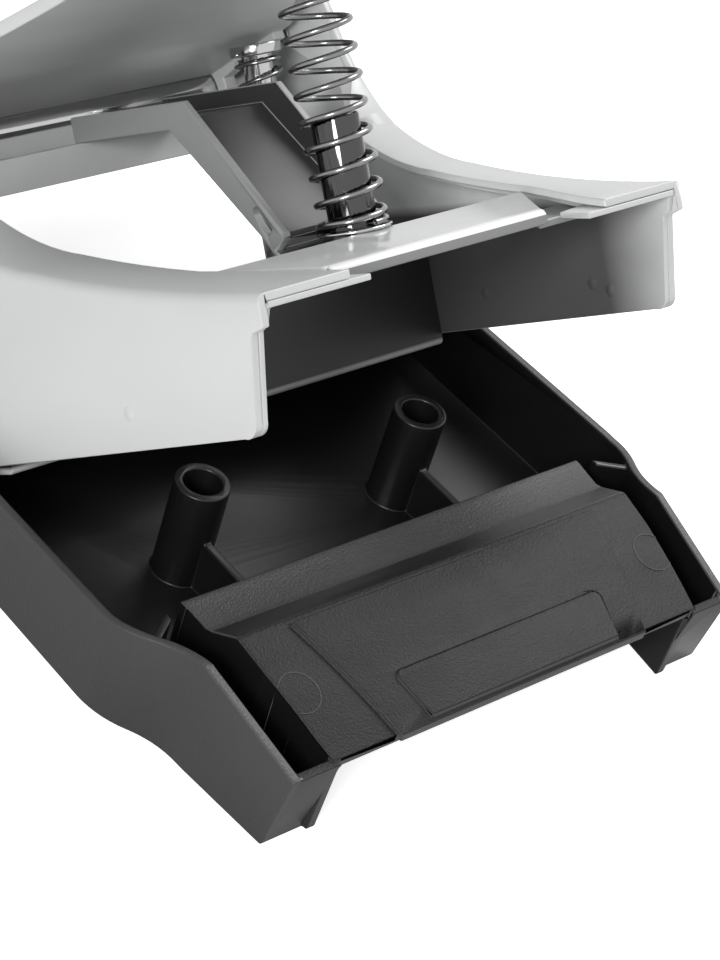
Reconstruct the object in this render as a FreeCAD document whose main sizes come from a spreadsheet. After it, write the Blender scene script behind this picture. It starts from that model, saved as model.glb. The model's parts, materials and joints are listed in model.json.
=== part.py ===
import FreeCAD, Part
import math
import os
import Sketcher
from FreeCAD import Placement, Rotation, Vector

# A lever punch for two holes, standing on a wide plastic chip tray. The tray is hinged to the
# steel body near its front end, and the body is drawn swung up, as when the tray is emptied.
# +X runs across, +Y to the paper side, +Z up, with the origin under the middle of the tray.
# Body pieces are drawn in the body's own axes: X across, Y forward from the back edge of the
# rear plate, Z up from the top of that plate. One placement then swings them all up.

os.makedirs("parts", exist_ok=True)
doc = FreeCAD.newDocument("hole_punch")

DRIVING = {
    "open_angle": 37.8,
    "hinge_front": 39.93,
    "hinge_height": 10.25,
    "plate_back": -23,
    "plate_height": 30,
    "pivot_radius": 2,
    "running_gap": 0.05,
    "tray_half": 58.5,
    "tray_end_half": 52.5,
    "tray_leg_half": 50.5,
    "tray_rear": -58,
    "tray_front": 58,
    "tray_wall": 1.8,
    "tray_floor": 1.2,
    "toe_front": 68,
    "toe_half": 54,
    "foot_depth": 0.6,
    "rim_height": 19,
    "shoulder_height": 22.8,
    "ridge_back": -22,
    "panel_half": 45.4,
    "panel_middle_half": 44,
    "panel_end_half": 41.8,
    "panel_sheet": 1.6,
    "field_half": 35,
    "field_end_half": 28.2,
    "finger_half": 23.4,
    "field_rise": 1,
    "post_spread": 25,
    "post_back": 1,
    "post_top": 21,
    "post_outer": 4.9,
    "post_inner": 3.4,
    "rib_sheet": 1.6,
    "shell_sheet": 1.4,
    "frame_sheet": 1,
    "rear_end": -26,
    "front_end": 84,
    "half_rear": 46,
    "taper": 0.087,
    "wall_foot": -26,
    "foot_rise": 4,
    "flange_rear": 26.5,
    "flange_back": 35.9,
    "table_top": -10.5,
    "table_sheet": 1.8,
    "slot_roof": -8,
    "paper_stop": 60,
    "punch_spread": 40,
    "punch_ahead": 72,
    "punch_radius": 3,
    "guide_radius": 5.5,
    "bridge_rear": 62,
    "bridge_front": 84,
    "bridge_foot": 16.4,
    "bridge_sheet": 1.6,
    "pivot_ahead": 98,
    "pivot_up": 26,
    "axle_radius": 4,
    "lever_rise": 16,
    "lever_sheet": 2.5,
    "lever_reach": 165,
    "post_ahead": 4.5,
    "rod_radius": 4.1,
    "rod_top": 21,
    "coil_radius": 5.5,
    "coil_wire": 1.1,
    "stay_half": 11,
    "stay_level": 22.6,
    "plate_front": -0.4,
    "plate_rear": -15.5,
    "plate_lift": 1.5,
    "wall_at": 44,
    "wall_drop": -28,
}

sheet = doc.addObject("Spreadsheet::Sheet", "dims")
for row, (name, number) in enumerate(DRIVING.items(), start=1):
    sheet.set(f"A{row}", name)
    sheet.set(f"B{row}", str(number))
    sheet.setAlias(f"B{row}", name)
doc.recompute()


class Size:
    """A length with its value and the sheet expression that gives it."""

    def __init__(self, value, text):
        self.value = float(value)
        self.text = text

    def __add__(self, other):
        other = size(other)
        return Size(self.value + other.value, f"({self.text} + {other.text})")

    def __sub__(self, other):
        other = size(other)
        return Size(self.value - other.value, f"({self.text} - {other.text})")

    def __mul__(self, other):
        other = size(other)
        return Size(self.value * other.value, f"({self.text} * {other.text})")

    def __neg__(self):
        return Size(-self.value, f"(0 - {self.text})")


def size(thing):
    """A driving dimension by its name, a plain number, or a Size as it is."""
    if isinstance(thing, Size):
        return thing
    if isinstance(thing, str):
        return Size(float(sheet.get(thing)), f"dims.{thing}")
    return Size(thing, f"({thing})")


def bind(thing, prop, length):
    length = size(length)
    thing.setExpression(prop, length.text)


# ---------------------------------------------------------------- sketches and features


def new_body(label):
    body = doc.addObject("PartDesign::Body", label)
    body.Label = label
    return body


def new_sketch(body, role, offset=0):
    """A sketch on one of the body's own planes, moved along the plane's normal."""
    planes = [f for f in body.Origin.OriginFeatures if f.Role == role]
    sketch = body.newObject("Sketcher::SketchObject", "Sketch")
    sketch.AttachmentSupport = [(planes[0], "")]
    sketch.MapMode = "FlatFace"
    bind(sketch, "AttachmentOffset.Base.z", offset)
    return sketch


def hold_point(sketch, index, end, across, up):
    """Ties one point of the sketch to its two coordinates."""
    for kind, length in (("DistanceX", across), ("DistanceY", up)):
        rule = Sketcher.Constraint(kind, -1, 1, index, end, length.value)
        number = sketch.addConstraint(rule)
        sketch.setExpression(f"Constraints[{number}]", length.text)


def trace(sketch, corners):
    """A closed outline. A corner is (x, y), or (x, y, mid x, mid y) at the end of an arc."""
    places = [[size(c) for c in corner] for corner in corners]
    for number, here in enumerate(places):
        before = places[number - 1]
        start = Vector(before[0].value, before[1].value, 0)
        stop = Vector(here[0].value, here[1].value, 0)
        if len(here) == 2:
            index = sketch.addGeometry(Part.LineSegment(start, stop))
        else:
            middle = Vector(here[2].value, here[3].value, 0)
            index = sketch.addGeometry(Part.Arc(start, middle, stop))
            dot = sketch.addGeometry(Part.Point(middle), True)
            hold_point(sketch, dot, 1, here[2], here[3])
            sketch.addConstraint(Sketcher.Constraint("PointOnObject", dot, 1, index))
        first = sketch.getPoint(index, 1)
        ends = (1, 2) if first.distanceToPoint(start) < first.distanceToPoint(stop) else (2, 1)
        hold_point(sketch, index, ends[0], before[0], before[1])
        hold_point(sketch, index, ends[1], here[0], here[1])


def ring(sketch, across, up, radius):
    across, up, radius = size(across), size(up), size(radius)
    centre = Vector(across.value, up.value, 0)
    index = sketch.addGeometry(Part.Circle(centre, Vector(0, 0, 1), radius.value))
    hold_point(sketch, index, 3, across, up)
    number = sketch.addConstraint(Sketcher.Constraint("Radius", index, radius.value))
    sketch.setExpression(f"Constraints[{number}]", radius.text)


def pad(body, sketch, length, both_ways=False):
    feature = body.newObject("PartDesign::Pad", "Pad")
    feature.Profile = sketch
    feature.SideType = "Symmetric" if both_ways else "One side"
    bind(feature, "Length", length)
    return feature


def slab(label, role, corners, length, offset=0, both_ways=False, holes=()):
    """A body made of one closed outline, padded, with round holes through it."""
    body = new_body(label)
    sketch = new_sketch(body, role, offset)
    trace(sketch, corners)
    for hole in holes:
        ring(sketch, *hole)
    pad(body, sketch, length, both_ways)
    return body


def rectangle(x_low, x_high, y_low, y_high):
    return [(x_low, y_low), (x_high, y_low), (x_high, y_high), (x_low, y_high)]


def rod(label, radius, length, centre, direction=Vector(0, 0, 1)):
    """A round bar whose start, in the piece's own axes, is centre."""
    bar = doc.addObject("Part::Cylinder", label)
    bind(bar, "Radius", radius)
    bind(bar, "Height", length)
    spot = [size(c) for c in centre]
    bar.Placement = Placement(Vector(*[c.value for c in spot]), Rotation(Vector(0, 0, 1), direction))
    for axis, length_along in zip("xyz", spot):
        bind(bar, f"Placement.Base.{axis}", length_along)
    return bar


def join(label, pieces):
    whole = doc.addObject("Part::MultiFuse", label)
    whole.Shapes = pieces
    whole.Refine = True
    return whole


def cut(label, base, tool):
    whole = doc.addObject("Part::Cut", label)
    whole.Base = base
    whole.Tool = tool
    return whole


def overlap(label, first, second):
    whole = doc.addObject("Part::MultiCommon", label)
    whole.Shapes = [first, second]
    return whole


NODES = {}


def keep(node, thing, placement=Placement()):
    """Names the finished piece, and puts it in its place."""
    thing.Label = node
    for axis in "xyz":
        thing.setExpression(f"Placement.Base.{axis}", None)
    thing.Placement = placement.multiply(thing.Placement)
    NODES[node] = thing


# ---------------------------------------------------------------- the chip tray


def tray_side(side, inset):
    """The plan of one long side, rear to front: narrow legs, a shoulder, then the wide bin."""
    end_half = (size("tray_end_half") - inset) * side
    wide_half = (size("tray_half") - inset) * side
    middle_half = (end_half + wide_half) * 0.5
    quarter = (wide_half - end_half) * 0.14
    leg_half = (size("tray_leg_half") - inset) * side
    shoulder = size("ridge_back") - 14
    return [
        (leg_half, size("tray_rear")),
        (end_half, shoulder),
        (middle_half, shoulder + 10, end_half + quarter, shoulder + 5.4),
        (wide_half, shoulder + 20, wide_half - quarter, shoulder + 14.6),
        (wide_half, size("tray_front")),
    ]


def tray_plan(inset):
    right = tray_side(1, inset)
    left = tray_side(-1, inset)
    back = [left[4], left[3][:2], left[2][:2] + left[3][2:], left[1][:2] + left[2][2:], left[0]]
    return right + back


def panel_top(drop):
    """The ramp over the finger gap, from the ridge to its free lower edge."""
    ridge = size("ridge_back")
    top = size("shoulder_height") - drop
    return [
        (ridge, top - 2.9),
        (ridge - 4.7, top - 3.4),
        (ridge - 6.2, top - 2.9),
        (ridge - 11.2, top),
        (ridge - 17.7, top - 1.3),
        (ridge - 35.2, top - 6.6, ridge - 26.5, top - 3.6),
    ]


def panel_side(side, inset=0):
    """One side edge of the ramp seen from above, from its rear end to the ridge."""
    return [
        ((size("panel_end_half") - inset) * side, size("tray_rear")),
        ((size("panel_middle_half") - inset) * side, size("ridge_back") - 18),
        ((size("panel_half") - inset) * side, size("ridge_back") + 2),
    ]


def raised_fields():
    """The raised middle of the ramp, and the finger pad at its lower edge raised again."""
    rear = size("tray_rear")
    ridge = size("ridge_back")
    top = size("shoulder_height")
    step = size("field_rise")
    fields = []
    field_view = slab(
        "field_view",
        "YZ_Plane",
        [
            (ridge - 12.4, top - 0.6),
            (ridge - 12.5, top - 0.3 + step),
            (ridge - 17.7, top - 1.3 + step),
            (rear, top - 6.8 + step, ridge - 26.5, top - 3.6 + step),
            (rear, top - 7.6),
            (ridge - 17.7, top - 2.2, ridge - 26.5, top - 4.4),
            (ridge - 12.4, top - 1.1),
        ],
        100,
        both_ways=True,
    )
    field_plan = slab(
        "field_plan",
        "XY_Plane",
        [
            ("field_end_half", rear),
            ("field_half", ridge - 11),
            (-size("field_half"), ridge - 11),
            (-size("field_end_half"), rear),
        ],
        30,
    )
    fields.append(overlap("ramp_field", field_view, field_plan))
    finger_view = slab(
        "finger_view",
        "YZ_Plane",
        [
            (rear + 9.5, top - 4.3 + step * 2),
            (rear + 0.6, top - 6.7 + step * 2),
            (rear + 0.6, top - 6.7),
            (rear + 9.5, top - 4.3),
        ],
        100,
        both_ways=True,
    )
    corner = 1.6
    finger_plan = slab(
        "finger_plan",
        "XY_Plane",
        [
            (size("finger_half") - 2, rear),
            (size("finger_half"), rear + 9.5 - corner),
            (size("finger_half") - corner, rear + 9.5, size("finger_half") - 0.4, rear + 9.1),
            (-(size("finger_half") - corner), rear + 9.5),
            (-size("finger_half"), rear + 9.5 - corner, -(size("finger_half") - 0.4), rear + 9.1),
            (-(size("finger_half") - 2), rear),
        ],
        30,
    )
    fields.append(overlap("finger_pad", finger_view, finger_plan))
    return fields


LEG_SLANT = 2.4


def gutter_walls(side):
    """The two walls that close the gutter beside the ramp, at its rear and by the ridge."""
    rear = size("tray_rear")
    ridge = size("ridge_back")
    inner_end = size("panel_half") + 3.4
    wall = size("tray_wall")
    top = size("shoulder_height") - 6.8
    inner_side = size("panel_end_half") - 1
    outer_side = size("tray_leg_half") - 0.3
    rear_wall = slab(
        "gutter_rear",
        "YZ_Plane",
        [
            (rear + LEG_SLANT, 0),
            (rear, top),
            (rear + wall, top),
            (rear + wall + LEG_SLANT, 0),
        ],
        outer_side - inner_side,
        inner_side if side > 0 else -outer_side,
    )
    front_wall = slab(
        "gutter_front",
        "XY_Plane",
        [
            (inner_end * side, ridge - 0.8),
            (54.3 * side, ridge - 4.5),
            (54.3 * side, ridge - 2.9),
            (inner_end * side, ridge + 0.8),
        ],
        size("shoulder_height") - 3.4,
    )
    sill = slab(
        "gutter_sill",
        "XY_Plane",
        rectangle((size("panel_half") - 1) * side, (inner_end + 1) * side, ridge - 0.8, ridge + 0.8),
        5,
    )
    return [rear_wall, front_wall, sill]


def make_tray():
    ridge = size("ridge_back")
    rear = size("tray_rear")
    front = size("tray_front")
    rim = size("rim_height")
    shoulder = size("shoulder_height")
    floor_top = size("tray_floor")
    inner_half = size("tray_half") - size("tray_wall")

    ring_plan = slab("tray_ring", "XY_Plane", tray_plan(0), shoulder)
    hollow = slab("tray_hollow", "XY_Plane", tray_plan(size("tray_wall")), shoulder, floor_top)
    tub = cut("tray_tub", ring_plan, hollow)
    side_view = slab(
        "tray_side_view",
        "YZ_Plane",
        [
            (rear + LEG_SLANT, 0),
            (front, 0),
            (front, rim - 1.5),
            (ridge + 4, rim),
            (ridge - 13.5, shoulder - 1),
            (rear, shoulder - 6.8),
        ],
        130,
        both_ways=True,
    )
    walls = overlap("tray_walls", tub, side_view)

    finger_gap = slab(
        "tray_finger_gap",
        "XY_Plane",
        [(size("panel_end_half") - 2, rear - 2)]
        + panel_side(1, 2)[1:2]
        + [(size("panel_half") - 2, ridge - 1), (-(size("panel_half") - 2), ridge - 1)]
        + panel_side(-1, 2)[1:2]
        + [(-(size("panel_end_half") - 2), rear - 2)],
        10,
        -2,
    )
    open_walls = cut("tray_open_walls", walls, finger_gap)

    plan = panel_side(1) + panel_side(-1)[::-1]
    upper = panel_top(0)
    lower = panel_top(size("panel_sheet"))
    under = [(lower[4][0], lower[4][1], lower[5][2], lower[5][3])] + lower[3::-1]
    panel_view = slab("panel_view", "YZ_Plane", upper + [lower[5][:2]] + under, 100, both_ways=True)
    panel_plan = slab("panel_plan", "XY_Plane", plan, 30)
    panel = overlap("ramp_panel", panel_view, panel_plan)

    skirt_view = slab(
        "skirt_view",
        "YZ_Plane",
        upper + [(rear + 1.5, 0), (ridge, 0)],
        100,
        both_ways=True,
    )
    skirt_plan = new_body("skirt_plan")
    sketch = new_sketch(skirt_plan, "XY_Plane")
    for side in (1, -1):
        trace(sketch, panel_side(side) + panel_side(side, 2)[::-1])
    pad(skirt_plan, sketch, 30)
    skirts = overlap("skirts", skirt_view, skirt_plan)

    bin_end = slab(
        "bin_end",
        "YZ_Plane",
        rectangle(ridge, ridge + 1.8, 0, shoulder - 2.9),
        size("panel_half") * 2,
        both_ways=True,
    )
    bin_wall_half = 49
    middle = size("hinge_front")
    ridge_top = size("hinge_height") + 5
    bin_front = slab(
        "bin_front",
        "YZ_Plane",
        [
            (middle - 0.8, 0),
            (middle + 0.8, 0),
            (middle + 0.8, ridge_top - 0.8),
            (middle - 0.8, ridge_top - 0.8, middle, ridge_top),
        ],
        bin_wall_half * 2,
        both_ways=True,
    )
    toe_corner = 10
    toe_inset = 3
    toe = slab(
        "tray_toe",
        "XY_Plane",
        [
            ("toe_half", size("tray_front") - 2),
            ("toe_half", size("toe_front") - toe_corner),
            (
                size("toe_half") - toe_corner,
                "toe_front",
                size("toe_half") - toe_inset,
                size("toe_front") - toe_inset,
            ),
            (-(size("toe_half") - toe_corner), "toe_front"),
            (
                -size("toe_half"),
                size("toe_front") - toe_corner,
                -(size("toe_half") - toe_inset),
                size("toe_front") - toe_inset,
            ),
            (-size("toe_half"), size("tray_front") - 2),
        ],
        floor_top + 0.6,
    )
    pieces = [open_walls, panel, skirts, bin_end, bin_front, toe] + raised_fields()
    for side in (1, -1):
        pieces += gutter_walls(side)
        centre = (size("post_spread") * side, size("post_back"), 0)
        pieces.append(rod("tray_post", "post_outer", "post_top", centre))
        rib_half = size("rib_sheet") * 0.5
        rib = slab(
            "tray_rib",
            "XY_Plane",
            rectangle(
                size("post_spread") * side - rib_half,
                size("post_spread") * side + rib_half,
                ridge + 1,
                size("post_back") - 3,
            ),
            size("post_top") - 10,
        )
        pieces.append(rib)
    solid_tray = join("solid_tray", pieces)
    bores = [
        rod("post_bore", "post_inner", 30, (size("post_spread") * side, size("post_back"), floor_top))
        for side in (1, -1)
    ]
    across = Vector(1, 0, 0)
    for start in (-62, 52):
        spot = (start, "hinge_front", "hinge_height")
        bores.append(rod("hinge_bore", "pivot_radius", 10, spot, across))
    bores += foot_discs("foot_recess")
    keep("chip_tray", cut("tray_bored", solid_tray, join("tray_bores", bores)))


def foot_discs(label):
    """Discs set into the underside of the tray, two wide ones ahead and two narrow ones behind."""
    discs = []
    for side in (1, -1):
        discs.append(rod(label, 5, "foot_depth", (42 * side, size("toe_front") - 10, 0)))
        discs.append(rod(label, 4, "foot_depth", (46 * side, size("tray_rear") + 8, 0)))
    return discs


make_tray()


# ---------------------------------------------------------------- the body's own axes

hinge_point = Vector(0, size("hinge_front").value, size("hinge_height").value)
swing = Rotation(Vector(1, 0, 0), -size("open_angle").value)
to_plate = Vector(0, size("plate_back").value, size("plate_height").value)
RAISED = Placement(hinge_point, swing)
RAISED = RAISED.multiply(Placement(-hinge_point, Rotation()))
RAISED = RAISED.multiply(Placement(to_plate, Rotation()))

hinge_ahead = size("hinge_front") - size("plate_back")
hinge_up = size("hinge_height") - size("plate_height")
ACROSS = Vector(1, 0, 0)


def half_width(ahead, inset=0):
    """Half the body's width at a distance ahead of the plate: the body widens forward."""
    return size("half_rear") + size("taper") * (size(ahead) - size("rear_end")) - inset


# The rim of a side wall, rear to front: distance ahead, height and slope in degrees. Every
# second entry from the third on is the middle of an arc.
RIM = [
    (-26, -0.3, 3),
    (2, 1.6, 6),
    (27, 5.7, 11),
    (39, 9.0, 20),
    (49, 14.4, 36),
    (57, 24, 60),
    (62, 36, 76),
    (65.4, 42, 45),
    (72, 44.5, 0),
    (94, 44.5, 0),
    (104, 40, -45),
    (108, 30, -90),
    (108, 15.5, -90),
]
RIM_ARC_MIDDLES = (1, 3, 5, 7, 10)


def rim_point(number, inset):
    ahead, up, slope = RIM[number]
    angle = math.radians(slope)
    return (size(ahead) + size(inset) * math.sin(angle), size(up) - size(inset) * math.cos(angle))


def rim_forward(inset, last=12):
    """Corners along the rim from its rear end, moved inwards by inset."""
    corners = [rim_point(0, inset)]
    for number in range(1, last + 1):
        if number in RIM_ARC_MIDDLES:
            continue
        corner = rim_point(number, inset)
        if number - 1 in RIM_ARC_MIDDLES:
            corner = corner + rim_point(number - 1, inset)
        corners.append(corner)
    return corners


def rim_backward(inset, last=12):
    corners = [rim_point(last, inset)]
    for number in range(last - 1, -1, -1):
        if number in RIM_ARC_MIDDLES:
            continue
        corner = rim_point(number, inset)
        if number + 1 in RIM_ARC_MIDDLES:
            corner = corner + rim_point(number + 1, inset)
        corners.append(corner)
    return corners


def wall_outline(inset):
    """A side wall seen from the side, with the paper slot open to the front."""
    foot = size("wall_foot")
    slot_floor = size("table_top")
    rear_foot = foot + "foot_rise"
    knuckle = hinge_up - foot
    return rim_forward(inset) + [
        (88, "slot_roof"),
        ("paper_stop", "slot_roof"),
        ("paper_stop", slot_floor),
        ("front_end", slot_floor),
        ("front_end", slot_floor - 1.9),
        (hinge_ahead + knuckle * 0.613, foot + knuckle * 0.21),
        (hinge_ahead, foot, hinge_ahead + knuckle * 0.324, foot + knuckle * 0.054),
        (45, foot),
        (-17.5, rear_foot),
        (-20.4, rear_foot + 2.2, -19.8, rear_foot + 0.7),
        (-23.2, -6.2),
        (size("rear_end") + inset, -5.4),
    ]


def wall_strips(label, outer_inset, thickness):
    """The two side walls seen from above, as thin strips that spread forward."""
    body = new_body(label)
    sketch = new_sketch(body, "XY_Plane", -30)
    for side in (1, -1):
        trace(
            sketch,
            [
                (half_width(-30, outer_inset) * side, -30),
                (half_width(112, outer_inset) * side, 112),
                (half_width(112, size(outer_inset) + thickness) * side, 112),
                (half_width(-30, size(outer_inset) + thickness) * side, -30),
            ],
        )
    pad(body, sketch, 90)
    return body


def wall_bores(gap):
    """Holes through both walls for the hinge pins, the lever axle and the rivets."""
    bores = [
        rod("hinge_hole", size("pivot_radius") + gap, 140, (-70, hinge_ahead, hinge_up), ACROSS),
        rod("axle_hole", "axle_radius", 140, (-70, "pivot_ahead", "pivot_up"), ACROSS),
    ]
    for ahead, up in RIVET_PLACES:
        bores.append(rod("rivet_hole", RIVET_RADIUS, 140, (-70, ahead, up), ACROSS))
    return join("wall_holes", bores)


RIVET_RADIUS = 1.6
RIVET_PLACES = [(57, -4), (66, 12), (78, 34), (90, 2)]
FRAME_GAP = 0.1


def make_outer_shell():
    outline = slab("shell_outline", "YZ_Plane", wall_outline(0), 130, both_ways=True)
    walls = overlap("shell_walls", outline, wall_strips("shell_strips", 0, "shell_sheet"))
    band = rim_forward(0) + rim_backward("shell_sheet")
    rim_band = slab("shell_band", "YZ_Plane", band, 130, both_ways=True)
    roof_rear = 70
    opening_half = 51
    window_edge = [
        ("flange_rear", -30),
        ("flange_back", 0),
        (size("flange_back") + size("taper") * 50, 50),
        (opening_half, 58),
        (opening_half, roof_rear),
    ]
    plan = window_edge + [(-size(x), y) for x, y in window_edge[::-1]]
    plan += [
        (-half_width(-30), -30),
        (-half_width(112), 112),
        (half_width(112), 112),
        (half_width(-30), -30),
    ]
    flange_plan = slab("shell_plan", "XY_Plane", plan, 90, -30)
    flanges = overlap("shell_flanges", rim_band, flange_plan)
    whole = join("shell_joined", [walls, flanges])
    keep("outer_shell", cut("shell_bored", whole, wall_bores("running_gap")), RAISED)


def make_inner_frame():
    inset = size("shell_sheet") + FRAME_GAP
    outline = slab("frame_outline", "YZ_Plane", wall_outline(inset), 130, both_ways=True)
    strips = wall_strips("frame_strips", inset, "frame_sheet")
    walls = overlap("frame_walls", outline, strips)
    band = rim_forward(inset, 4) + rim_backward(inset + "frame_sheet", 4)
    rim_band = slab("frame_band", "YZ_Plane", band, 130, both_ways=True)
    body = new_body("frame_plan")
    sketch = new_sketch(body, "XY_Plane", -30)
    for side in (1, -1):
        trace(
            sketch,
            [
                ((size("flange_rear") - 3.5) * side, -30),
                ((size("flange_rear") - 1.2) * side, -17.8),
                ((size("flange_rear") + 7) * side, -16),
                ((size("flange_back") + 4) * side, 0),
                ((size("flange_back") + 9) * side, 60),
                (half_width(60, inset) * side, 60),
                (half_width(-30, inset) * side, -30),
            ],
        )
    pad(body, sketch, 90)
    flanges = overlap("frame_flanges", rim_band, body)
    whole = join("frame_joined", [walls, flanges])
    keep("inner_frame", cut("frame_bored", whole, wall_bores("running_gap")), RAISED)


PLATE_SLOPE = 0.126
PLATE_SHEET = 1.2


def plate_up(ahead, drop=0):
    """Height of the rear plate's top, which falls towards the rear, less a drop."""
    return size("plate_lift") + (size(ahead) - "plate_front") * PLATE_SLOPE - drop


def make_top_plate():
    """The rear plate: a raised middle with a rolled rear edge and a lower ledge each side."""
    ledge_top = -2.45
    ledge_under = ledge_top - PLATE_SHEET
    inset = size("shell_sheet") + "frame_sheet" + FRAME_GAP
    front_half = size("flange_back") - 2
    rear_half = size("flange_rear") - 3
    front = size("plate_front")
    rear = size("plate_rear")
    sheet_view = slab(
        "plate_view",
        "YZ_Plane",
        [
            (rear, plate_up(rear)),
            (rear, plate_up(rear, PLATE_SHEET)),
            (front, plate_up(front, PLATE_SHEET)),
            (front, plate_up(front)),
        ],
        100,
        both_ways=True,
    )
    sheet_plan = slab(
        "plate_plan",
        "XY_Plane",
        [
            (rear_half, rear),
            (front_half, front),
            (-front_half, front),
            (-rear_half, rear),
        ],
        10,
        -5,
    )
    raised = overlap("plate_raised", sheet_view, sheet_plan)
    roll = plate_up(rear)
    lip = slab(
        "plate_lip",
        "YZ_Plane",
        [
            (rear + 1, roll),
            (rear + 1, roll - PLATE_SHEET),
            (rear + 0.2, roll - 2.6),
            (rear - 1.1, roll - 2.6),
            (rear - 1.2, roll - 1.2),
            (rear, roll, rear - 0.8, roll - 0.35),
        ],
        rear_half * 2,
        both_ways=True,
    )
    pieces = [raised, lip]
    step_view = slab(
        "step_view",
        "YZ_Plane",
        [(rear, plate_up(rear)), (rear, ledge_under), (front, ledge_under), (front, plate_up(front))],
        100,
        both_ways=True,
    )
    for side in (1, -1):
        ledge = slab(
            "plate_ledge",
            "XY_Plane",
            [
                (rear_half * side, rear),
                (front_half * side, front),
                (half_width(front, inset) * side, front),
                (half_width(rear, inset) * side, rear),
            ],
            PLATE_SHEET,
            ledge_under,
        )
        step_plan = slab(
            "step_plan",
            "XY_Plane",
            [
                ((rear_half - 1.2) * side, rear),
                ((front_half - 1.2) * side, front),
                (front_half * side, front),
                (rear_half * side, rear),
            ],
            10,
            -5,
        )
        pieces += [ledge, overlap("plate_step", step_view, step_plan)]
    keep("top_plate", join("plate_joined", pieces), RAISED)


def make_cross_wall():
    """The upright wall behind the punch box, with its lower edge turned forward."""
    at = size("wall_at")
    inset = size("shell_sheet") + size("frame_sheet") + FRAME_GAP
    foot = size("wall_drop")
    wall = slab(
        "cross_sheet",
        "YZ_Plane",
        [
            (at, -5),
            (at, foot + 1.2),
            (at + 1.2, foot, at + 0.35, foot + 0.35),
            (at + 6, foot),
            (at + 6, foot + 1.2),
            (at + 1.2, foot + 1.2),
            (at + 1.2, -5),
        ],
        130,
        both_ways=True,
    )
    keep("cross_wall", overlap("cross_trimmed", wall, between_walls("cross_plan", inset)), RAISED)


def between_walls(label, inset):
    """The plan of everything between the side walls, to trim cross members to length."""
    return slab(
        label,
        "XY_Plane",
        [
            (half_width(-30, inset), -30),
            (half_width(112, inset), 112),
            (-half_width(112, inset), 112),
            (-half_width(-30, inset), -30),
        ],
        90,
        -30,
    )


def make_table():
    """The die plate that the paper lies on, with a hole under each punch."""
    inset = size("shell_sheet") + size("frame_sheet") + FRAME_GAP
    die = size("punch_radius") + size("running_gap")
    holes = [(size("punch_spread") * side, "punch_ahead", die) for side in (1, -1)]
    rear = size("wall_at") + 1.2
    ahead = size("front_end")
    plate = slab(
        "table_sheet",
        "XY_Plane",
        [
            (half_width(rear, inset), rear),
            (half_width(ahead, inset), ahead),
            (-half_width(ahead, inset), ahead),
            (-half_width(rear, inset), rear),
        ],
        "table_sheet",
        size("table_top") - "table_sheet",
        holes=holes,
    )
    keep("die_plate", plate, RAISED)
    stop = slab(
        "stop_sheet",
        "YZ_Plane",
        [
            (size("paper_stop") - 7, "table_top"),
            ("paper_stop", "table_top"),
            ("paper_stop", size("slot_roof") + 2.5),
            (size("paper_stop") - 1.2, size("slot_roof") + 2.5),
            (size("paper_stop") - 1.2, size("table_top") + 1.2),
            (size("paper_stop") - 7, size("table_top") + 1.2),
        ],
        88,
        both_ways=True,
    )
    keep("paper_stop", stop, RAISED)


def make_bridge():
    """The channel across the head that holds the punch guides."""
    inset = size("shell_sheet") + size("frame_sheet") + FRAME_GAP
    rear = size("bridge_rear")
    front = size("bridge_front")
    foot = size("bridge_foot")
    thick = size("bridge_sheet")
    channel = slab(
        "bridge_channel",
        "YZ_Plane",
        [
            (rear, foot),
            (front, foot),
            (front, foot + 9),
            (front - thick, foot + 9),
            (front - thick, foot + thick),
            (rear + thick, foot + thick),
            (rear + thick, "stay_level"),
            (rear, "stay_level"),
        ],
        130,
        both_ways=True,
    )
    trimmed = overlap("bridge_trimmed", channel, between_walls("bridge_plan", inset))
    holes = [
        rod("bridge_hole", "guide_radius", 10, (size("punch_spread") * side, "punch_ahead", 12))
        for side in (1, -1)
    ]
    keep("head_bridge", cut("bridge_bored", trimmed, join("bridge_holes", holes)), RAISED)


def make_punches():
    """Each punch slides in a guide that is pressed into the bridge, under its own spring."""
    foot = size("slot_roof") + 0.3
    guide_top = size("bridge_foot") + size("bridge_sheet")
    head_top = size("bridge_foot") + 17.2
    for side, name in ((-1, "left"), (1, "right")):
        spot = size("punch_spread") * side
        tube = rod("guide_tube", "guide_radius", guide_top - foot, (spot, "punch_ahead", foot))
        bore = rod(
            "guide_bore",
            size("punch_radius") + size("running_gap"),
            60,
            (spot, "punch_ahead", foot - 10),
        )
        keep(f"punch_guide_{name}", cut("guide_bored", tube, bore), RAISED)
        tip = foot + 0.4
        pin = rod("pin_shaft", "punch_radius", head_top - 2 - tip, (spot, "punch_ahead", tip))
        head = rod("pin_head", 5, 2, (spot, "punch_ahead", head_top - 2))
        keep(f"punch_pin_{name}", join("pin_whole", [pin, head]), RAISED)
        coil = make_coil("punch_coil", 4.2, 0.8, head_top - 2.5 - guide_top, 4)
        coil_place = Placement(
            Vector(spot.value, size("punch_ahead").value, guide_top.value + 0.45), Rotation()
        )
        keep(f"punch_spring_{name}", coil, RAISED.multiply(coil_place))


def make_coil(label, radius, wire, height, turns):
    """A coil spring of round wire, standing on its own origin."""
    radius, wire, height = size(radius), size(wire), size(height)
    body = new_body(label)
    sketch = new_sketch(body, "XZ_Plane")
    ring(sketch, radius, wire * 0.5, wire * 0.5)
    doc.recompute()
    helix = body.newObject("PartDesign::AdditiveHelix", "Coil")
    helix.Profile = sketch
    helix.ReferenceAxis = (sketch, ["V_Axis"])
    helix.Mode = "height-turns-angle"
    bind(helix, "Height", height - wire)
    helix.Turns = turns
    return body


make_outer_shell()
make_inner_frame()
make_top_plate()
make_cross_wall()
make_table()
make_bridge()
make_punches()


# ---------------------------------------------------------------- stay and return spring


SEAT = 0.1


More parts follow.
